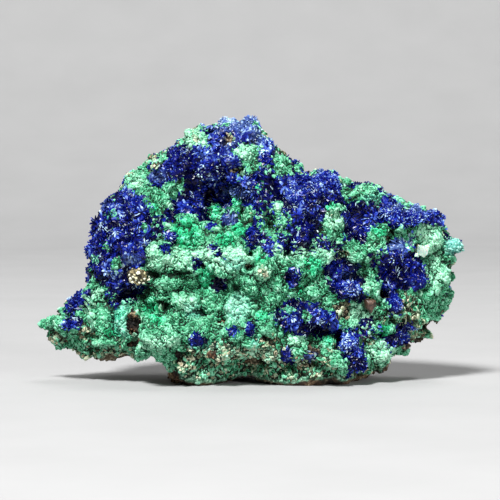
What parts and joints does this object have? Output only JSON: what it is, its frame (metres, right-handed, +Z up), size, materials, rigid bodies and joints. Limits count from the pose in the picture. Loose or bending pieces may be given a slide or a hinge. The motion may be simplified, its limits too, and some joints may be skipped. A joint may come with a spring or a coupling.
{
  "type": "azurite and malachite specimen",
  "caption": "Hand-size mineral specimen: deep blue azurite clusters and green malachite crusts grown on a rough brown matrix, resting on its flat broken foot.",
  "frame": {"origin": "middle of the bounding box, on the ground under the foot", "axes": "+X to the right as seen from the front, along the longest extent; -Y is the front with the growths; +Z up"},
  "size_m": [0.0918, 0.042, 0.058],
  "materials": {
    "azurite": "deep blue glassy crystals in a dense druse, nearly black where it is shaded",
    "malachite": "green crust of tiny grape-like balls and velvety tufts, with pale mint tips",
    "matrix": "rough brown iron-stained host rock, granular and matt",
    "limonite": "earthy ochre-yellow, dull",
    "white_crystal": "milky greenish white, glassy",
    "brown_crystal": "dark brown iron-stained crystal, dull to waxy"
  },
  "bodies": {
    "root": {"matrix": "matrix", "azurite_crown": "azurite", "azurite_shoulder": "azurite", "azurite_pocket": "azurite", "azurite_ridge": "azurite", "azurite_rosette": "azurite", "azurite_hollow": "azurite", "azurite_right_crest": "azurite", "azurite_right_mass": "azurite", "azurite_right_bleb": "azurite", "azurite_middle_right": "azurite", "azurite_lower_centre": "azurite", "azurite_lower_strip": "azurite", "azurite_lower_right": "azurite", "azurite_left_edge": "azurite", "malachite_main_crust": "malachite", "malachite_crown_left": "malachite", "malachite_crown_right": "malachite", "malachite_slope": "malachite", "malachite_saddle": "malachite", "malachite_right_edge": "malachite", "malachite_right_foot": "malachite", "malachite_mound": "malachite", "malachite_apron": "malachite", "limonite_knob": "limonite", "white_crystal": "white_crystal", "brown_crystal": "brown_crystal"}
  },
  "joints": []
}
